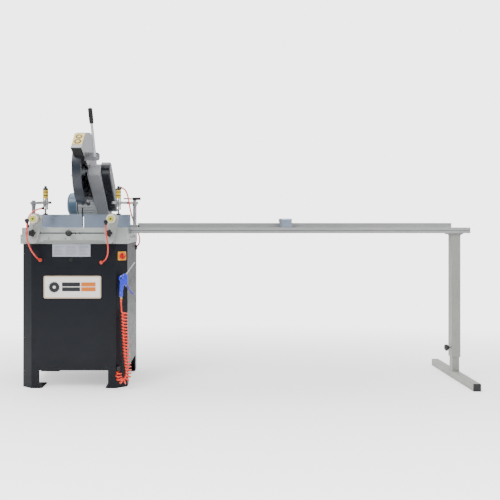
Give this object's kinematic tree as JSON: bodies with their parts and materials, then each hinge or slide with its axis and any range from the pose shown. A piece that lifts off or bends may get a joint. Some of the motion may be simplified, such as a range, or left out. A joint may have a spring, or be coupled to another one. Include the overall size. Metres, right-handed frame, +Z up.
{
  "type": "mitre saw on cabinet stand",
  "caption": "Pull-down mitre saw on a sheet-steel cabinet, with air clamps, a coiled air gun hose and a long stop rail on a T-foot stand.",
  "frame": {"origin": "on the floor, in the middle of the machine's box without its hoses", "axes": "+X along the stop rail, away from the cabinet; +Y to the back, away from the operator; +Z up"},
  "size_m": [2.541, 0.6998, 1.5067],
  "materials": {
    "cabinet_paint": "gloss dark anthracite enamel",
    "plate": "satin plate, blank",
    "casting_grey": "light grey paint on castings",
    "table_metal": "machined, satin",
    "fence_anodised": "blue-grey anodised, satin",
    "head_casting": "light grey paint on castings",
    "guard_paint": "dark blue-grey satin",
    "cover_paint": "blue-black gloss",
    "motor_grey": "blue-grey motor paint",
    "blade_steel": "ground steel",
    "zinc": "bright zinc plate",
    "chrome": "polished rod",
    "black_plastic": "matt black",
    "black_rubber": "matt black",
    "cylinder_metal": "anodised, satin",
    "switch_yellow": "gloss yellow",
    "switch_red": "gloss red",
    "rail_metal": "drawn, satin",
    "stand_paint": "mid-grey enamel",
    "gun_blue": "gloss blue",
    "hose_red": "gloss red tube",
    "coil_red": "gloss orange-red tube"
  },
  "bodies": {
    "cabinet": {"cabinet_shell": "cabinet_paint", "front_plates": "plate", "switch_plate": "switch_yellow", "base_casting": "casting_grey", "table_sides": "table_metal", "fence": "fence_anodised", "front_rail": "casting_grey", "clamp_posts": "zinc", "wall_fittings": "black_plastic", "length_rail": "rail_metal", "rail_fence": "rail_metal", "stand_tube": "stand_paint", "gun_body": "gun_blue", "left_clamp_hose": "hose_red", "right_clamp_hose": "hose_red", "left_holddown_hose": "hose_red", "right_holddown_hose": "hose_red", "gun_hose_lead": "coil_red", "gun_coil_hose": "coil_red"},
    "door_latch": {"door_latch": "black_plastic"},
    "switch_knob": {"switch_knob": "switch_red"},
    "index_knob": {"index_knob": "black_plastic"},
    "turntable": {"turntable": "table_metal", "kerf_plate": "zinc", "pivot_bracket": "casting_grey", "pivot_shaft": "zinc", "return_spring": "zinc"},
    "head": {"swing_arm": "head_casting", "blade_hood": "head_casting", "handle_lever": "zinc", "handle_grip": "black_rubber", "belt_cover": "cover_paint", "drive_belt": "black_rubber", "motor_body": "motor_grey", "motor_cowl": "motor_grey"},
    "spindle": {"blade_spindle": "zinc", "saw_blade": "blade_steel"},
    "motor_shaft": {"motor_pulley": "zinc"},
    "guard": {"lower_guard": "guard_paint"},
    "holddown_lever": {"holddown_lever": "black_plastic"},
    "stop": {"stop_carriage": "fence_anodised"},
    "stop_flap": {"stop_flap": "zinc"},
    "stand_leg": {"stand_leg": "stand_paint", "foot_caps": "black_plastic"},
    "stand_knob": {"stand_knob": "black_plastic"},
    "gun_lever": {"gun_lever": "gun_blue"},
    "left_clamp": {"left_clamp_bracket": "casting_grey", "left_clamp_cylinder": "cylinder_metal"},
    "left_clamp_rod": {"left_clamp_rod": "chrome"},
    "left_clamp_knob": {"left_clamp_knob": "black_plastic"},
    "left_holddown": {"left_holddown_arm": "zinc", "left_holddown_cylinder": "cylinder_metal"},
    "left_holddown_rod": {"left_holddown_rod": "chrome"},
    "right_clamp": {"right_clamp_bracket": "casting_grey", "right_clamp_cylinder": "cylinder_metal"},
    "right_clamp_rod": {"right_clamp_rod": "chrome"},
    "right_clamp_knob": {"right_clamp_knob": "black_plastic"},
    "right_holddown": {"right_holddown_arm": "zinc", "right_holddown_cylinder": "cylinder_metal"},
    "right_holddown_rod": {"right_holddown_rod": "chrome"}
  },
  "joints": [
    {"name": "mitre_swivel", "type": "hinge", "parent": "cabinet", "child": "turntable", "pos_m": [-0.96347, -0.01709, 0.835], "axis": [0, 0, 1], "range_deg": [-45, 45]},
    {"name": "head_swing", "type": "hinge", "parent": "turntable", "child": "head", "pos_m": [-0.88847, 0.29991, 0.962], "axis": [1, 0, 0], "range_deg": [0, 24.6], "stiffness_Nm_per_rad": 90, "springref_deg": -57.3},
    {"name": "blade_spin", "type": "hinge", "parent": "head", "child": "spindle", "pos_m": [-0.96347, -0.0053, 1.20478], "axis": [1, 0, 0], "continuous": true},
    {"name": "motor_spin", "type": "hinge", "parent": "head", "child": "motor_shaft", "pos_m": [-0.88347, 0.2373, 1.0118], "axis": [1, 0, 0], "continuous": true},
    {"name": "guard_retract", "type": "hinge", "parent": "head", "child": "guard", "pos_m": [-0.96347, -0.0053, 1.20478], "axis": [1, 0, 0], "range_deg": [-110, 0]},
    {"name": "index_pull", "type": "slide", "parent": "cabinet", "child": "index_knob", "axis": [0, -1, 0], "range_m": [0, 0.01], "stiffness_N_per_m": 400, "springref_m": -0.01},
    {"name": "latch_turn", "type": "hinge", "parent": "cabinet", "child": "door_latch", "pos_m": [-0.97847, -0.25709, 0.695], "axis": [0, -1, 0], "range_deg": [0, 90]},
    {"name": "switch_turn", "type": "hinge", "parent": "cabinet", "child": "switch_knob", "pos_m": [-0.70597, -0.23709, 0.716], "axis": [0.5744, -0.8186, 0], "range_deg": [0, 90]},
    {"name": "stop_slide", "type": "slide", "parent": "cabinet", "child": "stop", "axis": [1, 0, 0], "range_m": [-0.78, 0.89]},
    {"name": "stop_flap_lift", "type": "hinge", "parent": "stop", "child": "stop_flap", "pos_m": [0.18153, -0.00309, 0.911], "axis": [1, 0, 0], "range_deg": [-95, 0]},
    {"name": "stand_height", "type": "slide", "parent": "cabinet", "child": "stand_leg", "axis": [0, 0, 1], "range_m": [0, 0.08]},
    {"name": "stand_knob_turn", "type": "hinge", "parent": "cabinet", "child": "stand_knob", "pos_m": [1.15653, -0.02209, 0.173], "axis": [1, 0, 0], "range_deg": [0, 270]},
    {"name": "gun_trigger", "type": "hinge", "parent": "cabinet", "child": "gun_lever", "pos_m": [-0.67747, -0.27909, 0.56], "axis": [0, 1, 0], "range_deg": [0, 20], "stiffness_Nm_per_rad": 0.4, "springref_deg": -17.19},
    {"name": "holddown_lever_turn", "type": "hinge", "parent": "right_holddown", "child": "holddown_lever", "pos_m": [-0.66247, -0.01709, 1.027], "axis": [0, 0, 1], "range_deg": [-10, 20]},
    {"name": "left_clamp_slide", "type": "slide", "parent": "cabinet", "child": "left_clamp", "axis": [1, 0, 0], "range_m": [-0.03, 0.02], "deforming": ["left_clamp_hose"]},
    {"name": "left_clamp_press", "type": "slide", "parent": "left_clamp", "child": "left_clamp_rod", "axis": [0, 1, 0], "range_m": [0, 0.05], "stiffness_N_per_m": 300, "springref_m": -0.02},
    {"name": "left_clamp_knob_turn", "type": "hinge", "parent": "left_clamp", "child": "left_clamp_knob", "pos_m": [-1.17647, -0.28909, 0.841], "axis": [0, -1, 0], "range_deg": [0, 270]},
    {"name": "left_holddown_swivel", "type": "hinge", "parent": "cabinet", "child": "left_holddown", "pos_m": [-1.25047, -0.01709, 1], "axis": [0, 0, 1], "range_deg": [-50, 0], "deforming": ["left_holddown_hose"]},
    {"name": "left_holddown_press", "type": "slide", "parent": "left_holddown", "child": "left_holddown_rod", "axis": [0, 0, -1], "range_m": [0, 0.04], "stiffness_N_per_m": 200, "springref_m": -0.03},
    {"name": "right_clamp_slide", "type": "slide", "parent": "cabinet", "child": "right_clamp", "axis": [1, 0, 0], "range_m": [-0.02, 0.011], "deforming": ["right_clamp_hose"]},
    {"name": "right_clamp_press", "type": "slide", "parent": "right_clamp", "child": "right_clamp_rod", "axis": [0, 1, 0], "range_m": [0, 0.05], "stiffness_N_per_m": 300, "springref_m": -0.02},
    {"name": "right_clamp_knob_turn", "type": "hinge", "parent": "right_clamp", "child": "right_clamp_knob", "pos_m": [-0.76647, -0.28909, 0.841], "axis": [0, -1, 0], "range_deg": [0, 270]},
    {"name": "right_holddown_swivel", "type": "hinge", "parent": "cabinet", "child": "right_holddown", "pos_m": [-0.66247, -0.01709, 1], "axis": [0, 0, 1], "range_deg": [0, 20], "deforming": ["right_holddown_hose"]},
    {"name": "right_holddown_press", "type": "slide", "parent": "right_holddown", "child": "right_holddown_rod", "axis": [0, 0, -1], "range_m": [0, 0.04], "stiffness_N_per_m": 200, "springref_m": -0.03}
  ],
  "couplings": [
    {"joint": "motor_spin", "follows": "blade_spin", "ratio": 1.1333},
    {"joint": "guard_retract", "follows": "head_swing", "ratio": -4.47}
  ]
}
